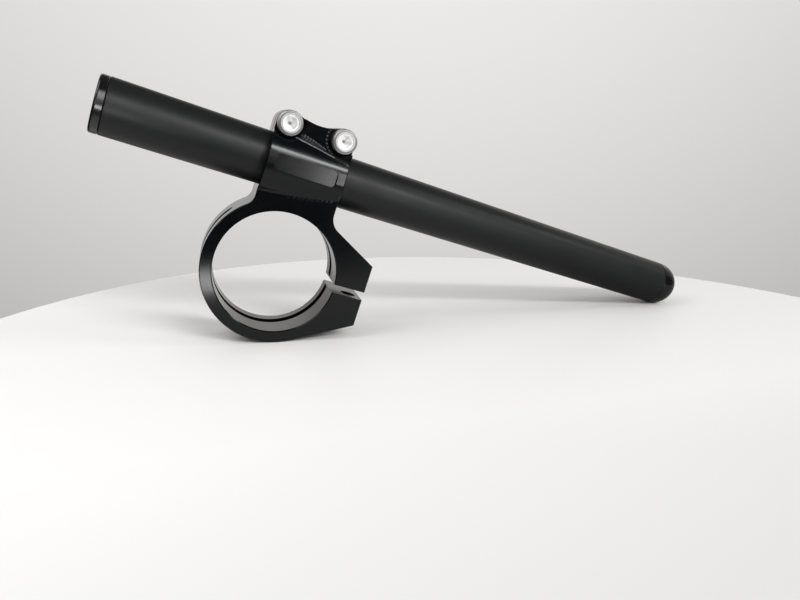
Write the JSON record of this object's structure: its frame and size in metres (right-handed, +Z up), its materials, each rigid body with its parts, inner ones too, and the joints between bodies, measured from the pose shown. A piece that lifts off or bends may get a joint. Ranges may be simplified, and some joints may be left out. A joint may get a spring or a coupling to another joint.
{
  "type": "clip-on handlebar",
  "caption": "Clip-on handlebar: a slotted split-ring fork clamp milled from billet, whose lugs grip a straight drooping bar tube with push-in end plugs.",
  "frame": {"origin": "centre of the fork bore, at half the clamp's thickness", "axes": "+Y along the fork axis from the pocketed front face to the back, +Z up, +X to the bar's outer end; the part lies on the ring's underside and the outer plug's dome"},
  "size_m": [0.2883, 0.0572, 0.1065],
  "materials": {
    "clamp_black": "milled aluminium, black anodised to a satin gloss",
    "bar_black": "drawn aluminium tube, fine bead blast, matte black anodised",
    "plug_black": "moulded black plastic, glossy",
    "screw_steel": "stainless steel, turned and bright"
  },
  "bodies": {
    "root": {"clamp_body": "clamp_black", "bar_tube": "bar_black", "inner_end_plug": "plug_black", "outer_end_plug": "plug_black", "bar_clamp_screws": "screw_steel"}
  },
  "joints": []
}
